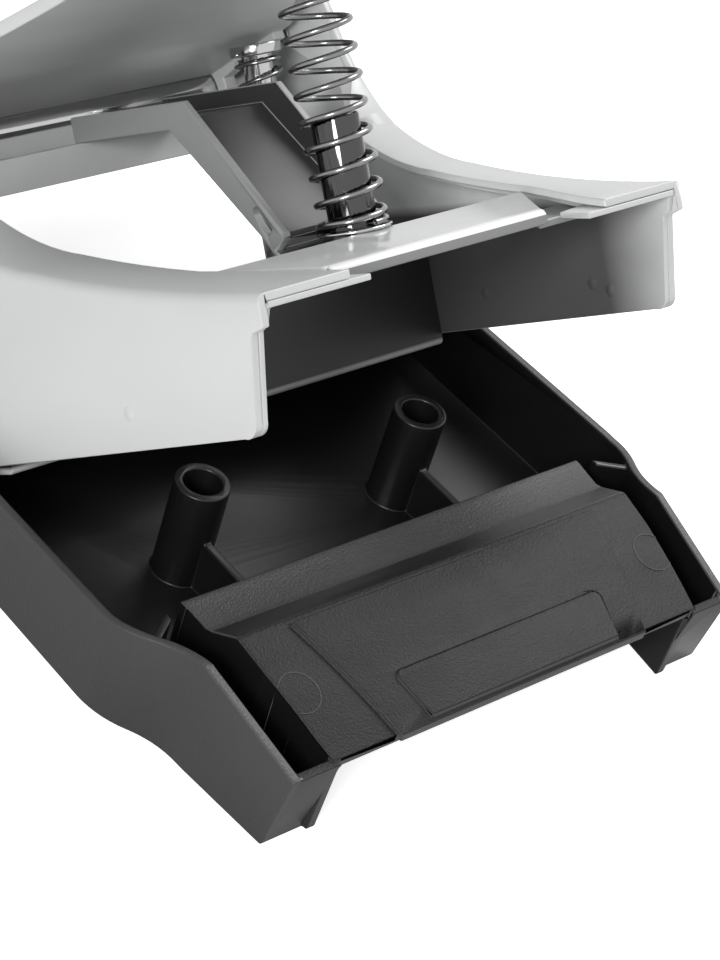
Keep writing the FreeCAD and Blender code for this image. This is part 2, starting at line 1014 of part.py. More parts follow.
def make_stay():
    """A U-channel brace from the rear plate up to the bridge, open to the rear and above."""
    sheet_gauge = 1.4
    half = size("stay_half")
    bend_up = size("stay_level")
    reach = size("bridge_rear") + 1.6
    foot_under = SEAT - 1.2
    web = slab(
        "stay_web",
        "YZ_Plane",
        [
            (12.4, foot_under),
            (13.4, SEAT + 0.5),
            (15.1, 2.8),
            (35, bend_up),
            (reach, bend_up),
            (reach, bend_up + sheet_gauge),
            (34.5, bend_up + sheet_gauge),
            (14.1, 3.7),
            (12.2, 1.3),
            (11.6, SEAT),
            (11.6, foot_under),
        ],
        half * 2,
        both_ways=True,
    )
    lip = slab(
        "stay_lip",
        "YZ_Plane",
        [(12.3, 0.9), (12.9, 1.9), (10.4, 3.6), (9.6, 2.6)],
        half * 2,
        both_ways=True,
    )
    pieces = [web, lip]
    for side in (1, -1):
        flange = slab(
            "stay_flange",
            "YZ_Plane",
            [
                (12.4, SEAT),
                (13.4, SEAT + 0.5),
                (15.1, 2.8),
                (35, bend_up),
                (reach, bend_up),
                (reach, bend_up + 4.6),
                (29.8, bend_up + 4.6),
                (9.7, 3.9),
                (10.4, 2.1, 9.5, 2.9),
            ],
            sheet_gauge,
            (half - sheet_gauge) if side > 0 else -half,
        )
        pieces.append(flange)
    bend_at = -1.8
    foot = slab(
        "stay_foot",
        "YZ_Plane",
        [
            (-8, plate_up(-8, PLATE_SHEET)),
            (bend_at, plate_up(bend_at, PLATE_SHEET)),
            (bend_at, SEAT),
            (11.7, SEAT),
            (11.7, foot_under),
            (bend_at, foot_under),
            (-8, plate_up(-8, PLATE_SHEET * 2)),
        ],
        (half - 1) * 2,
        both_ways=True,
    )
    pieces.append(foot)
    slot_pieces = [
        rod("slot_end", 1, 6, (-half - 2, 15.4, 7.4), ACROSS),
        rod("slot_end", 1, 6, (-half - 2, 13.2, 4.4), ACROSS),
        slab(
            "slot_middle",
            "YZ_Plane",
            [(14.6, 8), (12.4, 5), (14, 3.8), (16.2, 6.8)],
            6,
            -half - 2,
        ),
    ]
    spring_room = rod("spring_room", size("coil_radius") + 1.1, 8, (0, "post_ahead", SEAT))
    holes = join("stay_holes", slot_pieces + [spring_room])
    keep("rear_stay", cut("stay_cut", join("stay_joined", pieces), holes), RAISED)


SPRING_TOP = 52


def make_return_spring():
    """The polished post, the flanged bush at its foot, and the long coil that lifts the lever."""
    ahead = size("post_ahead")
    flange_foot = size("plate_lift") + 0.02
    bush_top = 2.1
    coil = make_coil("return_coil", "coil_radius", "coil_wire", SPRING_TOP - bush_top, 12)
    post = rod("return_post", "rod_radius", size("rod_top") - SEAT, (0, ahead, SEAT))
    keep("guide_post", post, RAISED)
    sleeve = rod("bush_sleeve", 4.8, bush_top - SEAT, (0, ahead, SEAT))
    flange = rod("bush_flange", 6.4, size(bush_top) - flange_foot, (0, ahead, flange_foot))
    room = slab("bush_room", "XY_Plane", rectangle(-12, 12, 9.5, 16), 4)
    bore = rod("bush_bore", "rod_radius", 4, (0, ahead, SEAT - 1))
    bush = cut("bush_flat", join("bush_whole", [sleeve, flange]), room)
    keep("spring_bush", cut("bush_bored", bush, bore), RAISED)
    spot = Placement(Vector(0, ahead.value, bush_top), Rotation())
    keep("return_spring", coil, RAISED.multiply(spot))


make_stay()
make_return_spring()


# ---------------------------------------------------------------- the lever

pivot_point = Vector(0, size("pivot_ahead").value, size("pivot_up").value)
LEVER_PLACE = RAISED.multiply(
    Placement(pivot_point, Rotation(Vector(1, 0, 0), -size("lever_rise").value))
)
# The lever is drawn level, with its origin on the axle and its arm running back along -Y.


def make_lever():
    """The pressed steel arm: wide over the punches, with two ears on the axle."""
    web_foot = 2
    thick = size("lever_sheet")
    reach = size("lever_reach")
    head_half = 49
    arm_half = 25
    web = slab(
        "lever_web",
        "XY_Plane",
        [
            (head_half, 7),
            (-head_half, 7),
            (-head_half, -26),
            (-head_half + 4, -34, -head_half + 0.8, -30.5),
            (-arm_half, -82, -arm_half - 6, -62),
            (-arm_half, -(reach - 6)),
            (-arm_half + 6, -reach, -arm_half + 1.8, -(reach - 1.8)),
            (arm_half - 6, -reach),
            (arm_half, -(reach - 6), arm_half - 1.8, -(reach - 1.8)),
            (arm_half, -82),
            (head_half - 4, -34, arm_half + 6, -62),
            (head_half, -26, head_half - 0.8, -30.5),
        ],
        thick,
        web_foot,
    )
    pieces = [web]
    for side in (1, -1):
        ear = slab(
            "lever_ear",
            "YZ_Plane",
            [
                (7, web_foot + 1),
                (7, 0),
                (-7, 0, 0, -7),
                (-14, web_foot - 1.5),
                (-26, web_foot - 1.5),
                (-26, web_foot + 1),
            ],
            3,
            head_half - 3 if side > 0 else -head_half,
        )
        edge = slab(
            "lever_edge",
            "YZ_Plane",
            [
                (-84, web_foot + 1),
                (-88, web_foot - 4),
                (-(reach - 12), web_foot - 4),
                (-(reach - 8), web_foot + 1),
            ],
            2,
            arm_half - 2 if side > 0 else -arm_half,
        )
        pieces += [ear, edge]
    arm = join("lever_joined", pieces)
    hole = rod("lever_hole", size("axle_radius") + "running_gap", 140, (-70, 0, 0), ACROSS)
    keep("lever_arm", cut("lever_bored", arm, hole), LEVER_PLACE)

    top = size(web_foot) + thick
    grip = slab(
        "grip_block",
        "YZ_Plane",
        [
            (-78, top),
            (-84, top + 3.5, -79.5, top + 2.6),
            (-(reach - 16), top + 11, -118, top + 9.5),
            (-(reach + 3), top, -(reach - 1), top + 8),
        ],
        arm_half * 2 + 5,
        both_ways=True,
    )
    keep("lever_grip", grip, LEVER_PLACE)

    cup_at = -95.5
    cup = rod("cup_whole", 10.4, 4, (0, cup_at, web_foot - 4))
    well = rod("cup_well", 8.8, 3, (0, cup_at, web_foot - 4))
    keep("spring_cup", cut("cup_bored", cup, well), LEVER_PLACE)


def make_axle():
    """The lever axle, fixed in the side walls, with a cap on each end."""
    half = half_width("pivot_ahead") + 1.2
    axle = rod("axle_bar", size("axle_radius") - 0.01, half * 2, (-half, "pivot_ahead", "pivot_up"), ACROSS)
    keep("lever_axle", axle, RAISED)
    for side, name in ((-1, "left"), (1, "right")):
        start = half if side > 0 else -half - 1.8
        cap = rod("axle_disc", 6, 1.8, (start, "pivot_ahead", "pivot_up"), ACROSS)
        keep(f"axle_cap_{name}", cap, RAISED)


def make_rivets():
    """Flush rivets that hold each wall's two sheets together."""
    shanks = []
    for ahead, up in RIVET_PLACES:
        reach = size("shell_sheet") + "frame_sheet" + 1.2
        for side in (1, -1):
            outer = half_width(ahead) + 0.7
            start = outer - reach if side > 0 else -outer
            shanks.append(rod("rivet", RIVET_RADIUS, reach, (start, ahead, up), ACROSS))
    keep("wall_rivets", join("rivet_group", shanks), RAISED)


def make_hinge():
    """Two pins fixed in the tray, each with a friction washer between tray and body."""
    body_side = half_width(hinge_ahead) + 0.6
    tray_side_in = size("tray_half") - size("tray_wall")
    pin_in = half_width(hinge_ahead) - 3.6
    pin_out = size("tray_half")
    for side, name in ((-1, "left"), (1, "right")):
        start = pin_in if side > 0 else -pin_out
        spot = (start, "hinge_front", "hinge_height")
        shaft = rod("pin_bar", "pivot_radius", pin_out - pin_in, spot, ACROSS)
        head_start = pin_out if side > 0 else -pin_out - 1.4
        head = rod("pin_cap", 4, 1.4, (head_start, "hinge_front", "hinge_height"), ACROSS)
        keep(f"hinge_pin_{name}", join("hinge_pin_whole", [shaft, head]))
        washer_width = tray_side_in - body_side
        washer_start = body_side if side > 0 else -tray_side_in
        spot = (washer_start, "hinge_front", "hinge_height")
        disc = rod("washer_disc", 5, washer_width, spot, ACROSS)
        bore = rod("washer_bore", "pivot_radius", washer_width, spot, ACROSS)
        keep(f"hinge_washer_{name}", cut("washer_bored", disc, bore))


def make_feet():
    """Four rubber pads, flush in their recesses under the tray."""
    keep("rubber_feet", join("foot_group", foot_discs("foot")))


make_lever()
make_axle()
make_rivets()
make_hinge()
make_feet()


# ---------------------------------------------------------------- check and write


doc.recompute()
for thing in doc.Objects:
    if "Invalid" in thing.State or "Error" in thing.State:
        raise RuntimeError(f"{thing.Name} failed: {thing.State}")
for node, thing in NODES.items():
    if thing.Shape.isNull() or not thing.Shape.isValid():
        raise RuntimeError(f"{node} has no valid shape")
for node, thing in NODES.items():
    thing.Shape.exportStep(f"parts/{node}.step")
    print(node, len(thing.Shape.Solids), round(thing.Shape.Volume, 1))
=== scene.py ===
import math

import bmesh
import bpy
from mathutils import Matrix, Vector
from mathutils.bvhtree import BVHTree
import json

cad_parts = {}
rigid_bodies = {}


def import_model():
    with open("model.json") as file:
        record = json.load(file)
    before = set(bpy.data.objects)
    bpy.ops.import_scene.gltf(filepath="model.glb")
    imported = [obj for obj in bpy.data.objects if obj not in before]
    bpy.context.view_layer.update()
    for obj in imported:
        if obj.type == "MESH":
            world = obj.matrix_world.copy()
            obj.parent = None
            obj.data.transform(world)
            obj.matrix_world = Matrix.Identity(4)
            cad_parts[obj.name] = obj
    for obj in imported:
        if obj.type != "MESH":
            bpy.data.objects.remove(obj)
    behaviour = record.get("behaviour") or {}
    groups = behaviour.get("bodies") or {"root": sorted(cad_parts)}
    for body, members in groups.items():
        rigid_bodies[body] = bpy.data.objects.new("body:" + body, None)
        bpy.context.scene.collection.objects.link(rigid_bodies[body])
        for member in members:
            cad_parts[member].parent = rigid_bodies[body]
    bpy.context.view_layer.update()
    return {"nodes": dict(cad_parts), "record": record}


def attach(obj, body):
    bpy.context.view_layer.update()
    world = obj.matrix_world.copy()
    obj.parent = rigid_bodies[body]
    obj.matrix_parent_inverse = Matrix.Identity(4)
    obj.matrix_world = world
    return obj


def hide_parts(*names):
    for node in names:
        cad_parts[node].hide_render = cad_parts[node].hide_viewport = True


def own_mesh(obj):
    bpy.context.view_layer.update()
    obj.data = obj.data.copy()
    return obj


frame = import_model()


# --- Camera. It looks down on the rear left corner and leans to one side. It stands less than half
# a metre away, so that the near edges of the shell loom large over the tray.
MM = 0.001
view_azimuth = math.radians(-141.303)
view_elevation = math.radians(37.567)
view_roll = math.radians(-18.473)
view_distance = 451.6 * MM
view_target = Vector((-0.9, -11.6, 23.4)) * MM
view_back = Vector(
    (
        math.cos(view_elevation) * math.cos(view_azimuth),
        math.cos(view_elevation) * math.sin(view_azimuth),
        math.sin(view_elevation),
    )
)
level_right = Vector((0, 0, 1)).cross(view_back).normalized()
level_up = view_back.cross(level_right)
view_right = level_right * math.cos(view_roll) - level_up * math.sin(view_roll)
view_up = level_right * math.sin(view_roll) + level_up * math.cos(view_roll)
camera = bpy.data.objects.new("camera", bpy.data.cameras.new("camera"))
camera.data.sensor_fit = "VERTICAL"
camera.data.sensor_height = 24
camera.data.lens = 66.2
camera.data.clip_start = 10 * MM
turned = Matrix((view_right, view_up, view_back)).transposed()
camera.matrix_world = Matrix.LocRotScale(
    view_target + view_back * view_distance, turned, None
)
bpy.context.scene.collection.objects.link(camera)
bpy.context.scene.camera = camera


# --- Studio. A pale card to stand on, a round softbox over the rear left, a wider and stronger one
# high on the right, and an even pale surround. The surround lights dimly but looks bright, which
# gives the metal something pale to reflect while the hollows stay dark.
def linear(code):
    """A colour written as sRGB hex, as the four linear numbers that a socket takes."""
    parts = [int(code[i : i + 2], 16) / 255 for i in (1, 3, 5)]
    return [c / 12.92 if c <= 0.04045 else ((c + 0.055) / 1.055) ** 2.4 for c in parts] + [1]


def add_node(tree, kind, values, **settings):
    """One node; values go by socket, and a value that is itself a socket is linked."""
    node = tree.nodes.new(kind)
    for name, value in settings.items():
        setattr(node, name, value)
    for name, value in values.items():
        if isinstance(value, bpy.types.NodeSocket):
            tree.links.new(value, node.inputs[name])
        else:
            node.inputs[name].default_value = value
    return node


def new_material(name):
    """An empty material and its node tree."""
    made = bpy.data.materials.new(name)
    made.use_nodes = True
    made.node_tree.nodes.clear()
    return made, made.node_tree


def new_piece(name, points, faces, material):
    """A mesh object at the origin, with its place in its mesh."""
    mesh = bpy.data.meshes.new(name)
    mesh.from_pydata([tuple(p) for p in points], [], faces)
    mesh.materials.append(material)
    made = bpy.data.objects.new(name, mesh)
    bpy.context.scene.collection.objects.link(made)
    return made


# Matt card. Its glow shows to the lens alone: it makes the card look white and lights nothing.
pale_card, tree = new_material("pale_card")
matt = add_node(tree, "ShaderNodeBsdfDiffuse", {"Color": linear("#F4F4F4")})
glow = add_node(tree, "ShaderNodeEmission", {"Color": linear("#FFFFFF"), "Strength": 0.8})
seen = add_node(tree, "ShaderNodeLightPath", {})
both = add_node(tree, "ShaderNodeAddShader", {0: matt.outputs[0], 1: glow.outputs[0]})
card = add_node(
    tree,
    "ShaderNodeMixShader",
    {0: seen.outputs["Is Camera Ray"], 1: matt.outputs[0], 2: both.outputs[0]},
)
add_node(tree, "ShaderNodeOutputMaterial", {"Surface": card.outputs[0]})
half_card = 1500 * MM
corners = [(-half_card, -half_card, 0), (half_card, -half_card, 0)]
corners += [(half_card, half_card, 0), (-half_card, half_card, 0)]
floor = new_piece("floor", corners, [(0, 1, 2, 3)], pale_card)

surround = bpy.data.worlds.new("surround")
surround.use_nodes = True
tree = surround.node_tree
tree.nodes.clear()
seen = add_node(tree, "ShaderNodeLightPath", {})
shown = add_node(
    tree,
    "ShaderNodeMath",
    {0: seen.outputs["Is Camera Ray"], 1: seen.outputs["Is Glossy Ray"]},
    operation="MAXIMUM",
)
level = add_node(
    tree,
    "ShaderNodeMapRange",
    {"Value": shown.outputs[0], "To Min": 0.26, "To Max": 1.0},
)
sky = add_node(
    tree,
    "ShaderNodeBackground",
    {"Color": linear("#FFFFFF"), "Strength": level.outputs[0]},
)
add_node(tree, "ShaderNodeOutputWorld", {"Surface": sky.outputs[0]})
bpy.context.scene.world = surround


def hang_lamp(name, place, width, watts):
    """A round softbox, aimed at the middle of the object; place and width are in metres."""
    aim = Vector((0, 0, 0.05))
    lamp = bpy.data.lights.new(name, "AREA")
    lamp.shape = "DISK"
    lamp.size = width
    lamp.energy = watts
    held = bpy.data.objects.new(name, lamp)
    facing = (aim - Vector(place)).to_track_quat("-Z", "Y")
    held.matrix_world = Matrix.LocRotScale(Vector(place), facing, None)
    bpy.context.scene.collection.objects.link(held)


hang_lamp("rear_left_softbox", place=(-0.95, -0.45, 0.65), width=0.4, watts=9)
hang_lamp("right_softbox", place=(0.8, 0.1, 1.0), width=0.8, watts=12)
bpy.context.scene.view_settings.view_transform = "Standard"


# --- Chip tray. One injection moulding in black ABS: outer walls, ramp with its raised field and
# finger pad, gutters, posts and ribs. Its outside is finely grained, its inside is left smooth,
# and the ejector pins have left a faint ring on each side of the ramp.
def settle(made):
    """Turns an object and its modifiers into a plain mesh."""
    bpy.context.view_layer.update()
    graph = bpy.context.evaluated_depsgraph_get()
    plain = bpy.data.meshes.new_from_object(made.evaluated_get(graph))
    made.modifiers.clear()
    made.data = plain
    return made


# The finish slot that the record gives each CAD node.
SLOTS = {part["node"]: part["material_slot"] for part in frame["record"]["subparts"]}


def body_of_node(node):
    """The name of the body that carries a CAD node."""
    return frame["nodes"][node].parent.name.split(":")[1]


def take_place(made, *nodes):
    """The piece stands for these CAD nodes, on their body."""
    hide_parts(*nodes)
    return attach(made, body_of_node(nodes[0]))


def rounded(node, finish, edge, is_bend=None, bend=0.0, reshape=None, shortest=0.0):
    """A copy of a CAD solid in its place, with its edges broken and its sheet bends rounder.

    edge is the width of a broken edge and bend that of the edges that is_bend picks, both in
    millimetres. reshape, if given, moves the vertices first. An edge shorter than shortest stays
    sharp, and a point that the rounding throws off the drawn surface is put back on it.
    """
    same_point = 0.001 * MM
    flat = math.radians(0.05)
    corner = math.radians(28)
    steps = 3
    stray_share = 0.6
    shape = bmesh.new()
    shape.from_mesh(frame["nodes"][node].data)
    bmesh.ops.remove_doubles(shape, verts=shape.verts, dist=same_point)
    if reshape is not None:
        reshape(shape)
    bmesh.ops.dissolve_limit(shape, angle_limit=flat, verts=shape.verts, edges=shape.edges)
    weight = shape.edges.layers.float.new("bevel_weight_edge")
    for face in shape.faces:
        face.smooth = True
    drawn = BVHTree.FromBMesh(shape)
    widest = max(edge, bend)
    for line in shape.edges:
        if len(line.link_faces) != 2 or line.calc_face_angle() <= corner:
            continue
        if line.calc_length() < shortest * MM:
            line.smooth = False
            continue
        wide = is_bend is not None and is_bend(line)
        line[weight] = (bend if wide else edge) / widest
    mesh = bpy.data.meshes.new(node + "_finished")
    shape.to_mesh(mesh)
    shape.free()
    mesh.materials.append(finish)
    made = bpy.data.objects.new(node + "_finished", mesh)
    bpy.context.scene.collection.objects.link(made)
    round_off = made.modifiers.new("round_off", "BEVEL")
    round_off.limit_method = "WEIGHT"
    round_off.width = widest * MM
    round_off.segments = steps
    round_off.use_clamp_overlap = False
    round_off.harden_normals = True
    settle(made)
    for vertex in made.data.vertices:
        near = drawn.find_nearest(vertex.co)[0]
        if (vertex.co - near).length > stray_share * widest * MM:
            vertex.co = near
    return take_place(made, node)


def repaint(made, finish, chosen):
    """Gives another finish to the faces that chosen(centre in mm, normal) picks."""
    made.data.materials.append(finish)
    number = len(made.data.materials) - 1
    for face in made.data.polygons:
        if chosen(face.center / MM, face.normal):
            face.material_index = number


def surface(tree, colour, drift, patch, rough, grain, depth, **sockets):
    """A shader whose tone and gloss wander over patches, with a grain of that size and depth.

    colour is sRGB hex or a socket. drift is how far the tone strays, as a share. patch, grain and
    depth are in millimetres, rough is the lowest and highest roughness, and any more values are
    for the shader's own sockets.
    """
    place = add_node(tree, "ShaderNodeTexCoord", {})
    clouds = add_node(
        tree,
        "ShaderNodeTexNoise",
        {"Vector": place.outputs["Object"], "Scale": 1 / (patch * MM), "Detail": 4},
    )
    tone = add_node(
        tree,
        "ShaderNodeMapRange",
        {"Value": clouds.outputs["Fac"], "To Min": 1 - drift, "To Max": 1 + drift},
    )
    if isinstance(colour, str):
        colour = linear(colour)
    tinted = add_node(
        tree,
        "ShaderNodeMixRGB",
        {"Fac": 1.0, "Color1": colour, "Color2": tone.outputs[0]},
        blend_type="MULTIPLY",
    )
    gloss = add_node(
        tree,
        "ShaderNodeMapRange",
        {"Value": clouds.outputs["Fac"], "To Min": rough[0], "To Max": rough[1]},
    )
    grains = add_node(
        tree,
        "ShaderNodeTexNoise",
        {"Vector": place.outputs["Object"], "Scale": 1 / (grain * MM), "Detail": 2},
    )
    bumps = add_node(
        tree, "ShaderNodeBump", {"Height": grains.outputs["Fac"], "Distance": depth * MM}
    )
    values = {
        "Base Color": tinted.outputs[0],
        "Roughness": gloss.outputs[0],
        "Normal": bumps.outputs[0],
    }
    values.update(sockets)
    shader = add_node(tree, "ShaderNodeBsdfPrincipled", values)
    add_node(tree, "ShaderNodeOutputMaterial", {"Surface": shader.outputs[0]})


def finish_of(name, colour, **settings):
    """A material of one such surface."""
    made, tree = new_material(name)
    surface(tree, colour, **settings)
    return made


# The tray's plan: wide at the bin, then an S-shaped shoulder down to legs that taper to the rear.
SHOULDER_AHEAD = -16
SHOULDER_REAR = -36
BIN_HALF = 58.5
LEG_HALF = 52.5
LEG_TAPER = 0.091
WITHIN_WALL = 1.1
FLOOR_UNDERSIDE = 0.5

# The ramp: a ridge beside the bin, a shallow valley, a crest, and the slope behind the crest.
RAMP_HALF = 45.6
RAMP_AHEAD = -20.5
RAMP_SKIN_ABOVE = 15
RIDGE_AHEAD = -19
RIDGE_ABOVE = 18
VALLEY_AHEAD = -27
VALLEY_REAR = -33.4
CREST_REAR = -34
SLOPE_AHEAD = -33
SLOPE_ABOVE = 13


def tray_half(along_y):
    """Half the tray's outer width at that distance along Y, in millimetres."""
    share = (along_y - SHOULDER_REAR) / (SHOULDER_AHEAD - SHOULDER_REAR)
    share = min(max(share, 0), 1)
    leg_half = LEG_HALF + min(along_y - SHOULDER_REAR, 0) * LEG_TAPER
    return leg_half + (BIN_HALF - LEG_HALF) * share * share * (3 - 2 * share)


def in_the_tray(centre, normal):
    """Faces of the bin and the gutters, within the outer wall and not on top of the ramp, which get a
    painted shade.
    """
    inside = abs(centre.x) < tray_half(centre.y) - WITHIN_WALL and centre.z > FLOOR_UNDERSIDE
    over_gap = abs(centre.x) < RAMP_HALF and centre.y < RAMP_AHEAD
    return inside and not (over_gap and centre.z > RAMP_SKIN_ABOVE)


def in_the_valley(centre, normal):
    """The rise from the valley to the crest, which faces the bin: left smooth, and darkened as a painted
    shade.
    """
    between = VALLEY_REAR < centre.y < VALLEY_AHEAD and abs(centre.x) < RAMP_HALF
    return between and centre.z > RIDGE_ABOVE and normal.y > 0.35


def on_the_ramp(centre, normal):
    """The upper side of the ramp behind its crest, matt and darkened with a painted shade."""
    to_the_edge = 0.5
    on_the_slope = abs(centre.x) < RAMP_HALF + to_the_edge and centre.y < SLOPE_AHEAD
    return on_the_slope and centre.z > SLOPE_ABOVE and normal.z > 0.4


def is_ridge(line):
    """The long edges of the ridge and the crest, which the mould rounds widely."""
    long_edge = 30
    ends = [vertex.co / MM for vertex in line.verts]
    crosswise = abs(ends[0].x - ends[1].x) > long_edge
    return crosswise and all(
        CREST_REAR < end.y < RIDGE_AHEAD and end.z > RIDGE_ABOVE for end in ends
    )


# Moulded against a spark-eroded die: a fine grain, drawn as coarse as it needs to be to show, with
# no clear reflection but a soft sheen that shows the ramp's folds. The smooth inside is a little
# glossier and the slope behind the crest duller; both are darkened with a painted shade.
grained_abs = finish_of(
    "grained_black_abs",
    "#373837",
    drift=0.06,
    patch=9,
    rough=(0.42, 0.52),
    grain=0.4,
    depth=0.12,
)
# Near-black, a painted shade over the inside; its lower roughness is the real smooth moulding.
smooth_abs_painted_shade = finish_of(
    "smooth_black_abs",
    "#121212",
    drift=0.08,
    patch=12,
    rough=(0.3, 0.4),
    grain=0.6,
    depth=0.008,
)
dull = {"Specular IOR Level": 0.3}
# Darker than the outer walls' grained finish: a painted shade on the slope.
ramp_abs_painted_shade = finish_of(
    "handled_black_abs",
    "#191A19",
    drift=0.08,
    patch=7,
    rough=(0.5, 0.6),
    grain=0.4,
    depth=0.16,
    **dull,
)
tray = rounded("chip_tray", grained_abs, edge=0.35, is_bend=is_ridge, bend=0.7)
# Painted shade on the slope behind the crest.
repaint(tray, ramp_abs_painted_shade, on_the_ramp)
# Painted shade: the bin and the gutters get the near-black finish.
repaint(tray, smooth_abs_painted_shade, in_the_tray)
# Painted shade: the valley's rise gets the near-black finish too.
repaint(tray, smooth_abs_painted_shade, in_the_valley)


def draped_ring(name, centre, radius, gauge, finish, carrier):
    """A fine raised ring that lies on whatever surface of the carrier is under it.

    centre, radius and gauge, the radius of its wire, are in millimetres.
    """
    turns = 48
    sides = 8
    well_above = 60
    points = []
    for number in range(turns):
        angle = number / turns * math.tau
        out = Vector((math.cos(angle), math.sin(angle), 0))
        above = (Vector((*centre, well_above)) + out * radius) * MM
        _, spot, facing, _ = carrier.ray_cast(above, Vector((0, 0, -1)))
        for side in range(sides):
            bend = side / sides * math.tau
            points.append(spot + (out * math.cos(bend) + facing * math.sin(bend)) * gauge * MM)
    faces = []
    count = len(points)
    for number in range(turns):
        for side in range(sides):
            here = number * sides + side
            beside = number * sides + (side + 1) % sides
            faces.append((here, (here + sides) % count, (beside + sides) % count, beside))
    made = new_piece(name, points, faces, finish)
    made.data.shade_smooth()
    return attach(made, "tray")


SIDES = ((-1, "left"), (1, "right"))
EJECTOR_SPREAD = 40.6
EJECTOR_AHEAD = -45.4
EJECTOR_RADIUS = 3.6
RING_GAUGE = 0.13
for side, name in SIDES:
    middle = (EJECTOR_SPREAD * side, EJECTOR_AHEAD)
    draped_ring(f"ejector_ring_{name}", middle, EJECTOR_RADIUS, RING_GAUGE, grained_abs, tray)


# --- The punch body's axes: across, ahead and up, from the middle of the rear plate's front edge.
# The body is one stiff welded unit that swings on the tray's hinge, so its bends, marks and
# finishes are placed along these axes. HINGE_AHEAD and HINGE_UP are the hinge's place in them.
HINGE_AHEAD = 62.93
HINGE_UP = -19.75
hinge = next(j for j in frame["record"]["behaviour"]["joints"] if j["name"] == "tray_hinge")
swung = Matrix.Rotation(-math.radians(max(hinge["range_deg"])), 4, "X")
to_hinge = Matrix.Translation(Vector(hinge["pos_m"]))
from_hinge = Matrix.Translation(Vector((0, -HINGE_AHEAD, -HINGE_UP)) * MM)
BODY = to_hinge @ swung @ from_hinge
INTO_BODY = BODY.inverted()
FORWARD = BODY.to_3x3() @ Vector((0, 1, 0))
UPWARD = BODY.to_3x3() @ Vector((0, 0, 1))


def in_body(x, ahead, up):
    """A place in the body's axes and millimetres, as a point of the frame in metres."""
    return BODY @ (Vector((x, ahead, up)) * MM)


def body_place(point):
    """A point of the frame in metres, in the body's axes and millimetres."""
    return (INTO_BODY @ point) / MM


def along(tree, place, axis, start, stop, low, high):
    """A value that runs from low to high between two distances along a body axis."""
    origin = in_body(0, 0, 0).dot(axis)
    reach = add_node(
        tree, "ShaderNodeVectorMath", {0: place.outputs["Object"], 1: axis}, operation="DOT_PRODUCT"
    )
    return add_node(
        tree,
        "ShaderNodeMapRange",
        {
            "Value": reach.outputs["Value"],
            "From Min": origin + start * MM,
            "From Max": origin + stop * MM,
            "To Min": low,
            "To Max": high,
        },
    )


# --- Outer shell and inner frame. Two nested steel pressings, 1.4 and 1 mm thick: side walls that
# spread forward, rims folded over into curved flanges, and the roof over the punches. Stoved grey
# enamel outside. The faces turned inwards get a dark painted shade, which turns towards the walls'
# rear end and above the plate's ledges into a grey paler than the enamel, a painted light.
WALL_REAR = -26
WALL_HALF_REAR = 46
WALL_TAPER = 0.087
# The ledges beside the plate part the hollow below them from the open side above.
LEDGE_UNDER = -3.4
LEDGE_OVER = -1.4


def shade_and_light_coat(name, dark, pale, rear_light_share, rear_light_reach):
    """A dark painted shade that pales into a painted light towards the walls' rear end, and wholly above
    the plate's ledges.
    """
    made, tree = new_material(name)
    place = add_node(tree, "ShaderNodeTexCoord", {})
    rear = along(tree, place, FORWARD, WALL_REAR, WALL_REAR + rear_light_reach, rear_light_share, 0)
    above = along(tree, place, UPWARD, LEDGE_UNDER, LEDGE_OVER, 0, 1)
    most = add_node(
        tree, "ShaderNodeMath", {0: rear.outputs[0], 1: above.outputs[0]}, operation="MAXIMUM"
    )
    mixed = add_node(
        tree,
        "ShaderNodeMixRGB",
        {"Fac": most.outputs[0], "Color1": linear(dark), "Color2": linear(pale)},
    )
    surface(tree, mixed.outputs[0], drift=0.08, patch=6, rough=(0.38, 0.52), grain=0.5, depth=0.01)
    return made


# The flange's free edge: how far from the middle it is at the plate and at the flare's end behind
# it, and how far it springs up between two distances ahead.
FLANGE_EDGE = 35.9
FLANGE_EDGE_REAR = 26.5
FLANGE_FLARE = 30
FLANGE_LIFT = 0.75
LIFT_FROM = -24
LIFT_FULL = -8
LIFT_TO = 52


def wall_half(ahead):
    """Half the body's outer width at that distance ahead of the plate."""
    return WALL_HALF_REAR + WALL_TAPER * (ahead - WALL_REAR)


def flange_edge(ahead):
    """How far from the middle the flange ends; beside the plate it widens to the rear."""
    if ahead < 0:
        return FLANGE_EDGE + (FLANGE_EDGE - FLANGE_EDGE_REAR) / FLANGE_FLARE * ahead
    return FLANGE_EDGE + WALL_TAPER * ahead


def is_shell_bend(line):
    """The outer edge between a side wall and its flange, on the side away from the hollow."""
    lowest_rim = -2
    bore_edge = 1 * MM
    normals = [face.normal for face in line.link_faces]
    middle = (line.verts[0].co + line.verts[1].co) / 2
    wall = max(normals, key=lambda normal: abs(normal.x))
    flange = min(normals, key=lambda normal: abs(normal.x))
    wall_faces_out = abs(wall.x) > 0.9 and wall.x * middle.x > 0
    flange_lies_level = flange.dot(UPWARD) > -0.2 and abs(flange.x) < 0.2
    on_rim = body_place(middle).z > lowest_rim
    of_a_bore = line.calc_length() < bore_edge
    return wall_faces_out and flange_lies_level and on_rim and not of_a_bore


def press_shell(shape):
    """Squares the rear ends, and lets the flanges spring up a little at their free edges."""
    end_depth = 0.2
    edge_band = 0.7
    for vertex in shape.verts:
        x, ahead, _ = body_place(vertex.co)
        if ahead < WALL_REAR + end_depth:
            vertex.co += FORWARD * ((WALL_REAR - ahead) * MM)
        if abs(abs(x) - flange_edge(ahead)) < edge_band and LIFT_FROM < ahead < LIFT_TO:
            share = min((ahead - LIFT_FROM) / (LIFT_FULL - LIFT_FROM), 1)
            vertex.co += UPWARD * (FLANGE_LIFT * share * MM)


def faces_hollow(centre, normal):
    """Faces turned to the middle of the body or downwards, which get the painted shade."""
    if abs(normal.x) > 0.8:
        return normal.x * centre.x < 0
    return abs(normal.x) < 0.2 and normal.dot(UPWARD) < -0.5
